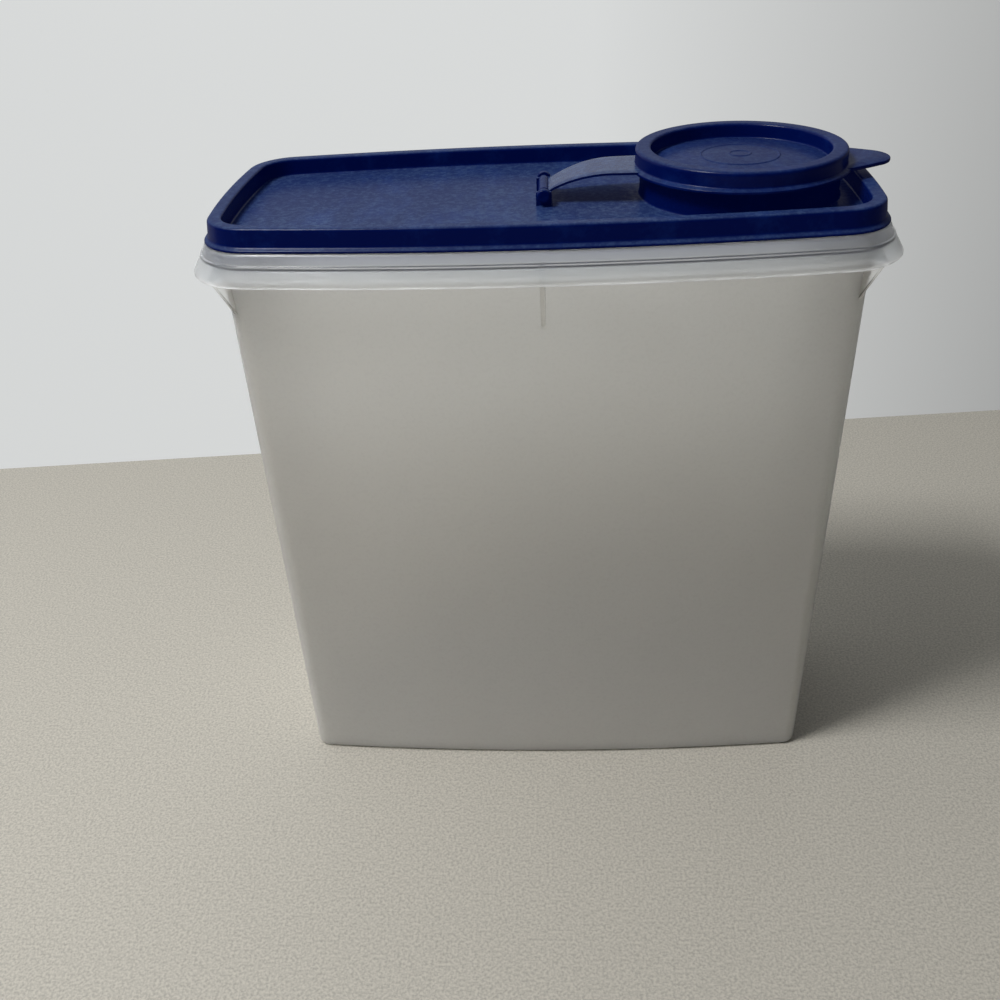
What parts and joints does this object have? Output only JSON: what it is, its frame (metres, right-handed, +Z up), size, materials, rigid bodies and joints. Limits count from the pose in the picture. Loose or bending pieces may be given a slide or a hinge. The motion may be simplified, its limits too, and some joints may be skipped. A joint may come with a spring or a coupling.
{
  "type": "cereal container with flip spout",
  "caption": "Tall translucent dry-food keeper with a navy press-on lid and a round pour spout closed by a flip cap on a strap hinge.",
  "frame": {"origin": "centre of the tub's underside, on the surface it stands on", "axes": "+Z up out of the spout, +X along the length towards the spout and the finger tab, +Y across the width"},
  "size_m": [0.2608, 0.1262, 0.2643],
  "materials": {
    "frosted_tub": "frosted translucent",
    "navy_lid": "satin",
    "navy_cap": "satin"
  },
  "bodies": {
    "tub": {"container": "frosted_tub"},
    "lid": {"lid": "navy_lid"},
    "cap": {"flip_cap": "navy_cap"}
  },
  "joints": [
    {"name": "lid_lift", "type": "slide", "parent": "tub", "child": "lid", "axis": [0, 0, 1], "range_m": [0, 0.06]},
    {"name": "cap_flip", "type": "hinge", "parent": "lid", "child": "cap", "pos_m": [0.0007, 0, 0.2509], "axis": [0, -1, 0], "range_deg": [0, 160]}
  ]
}
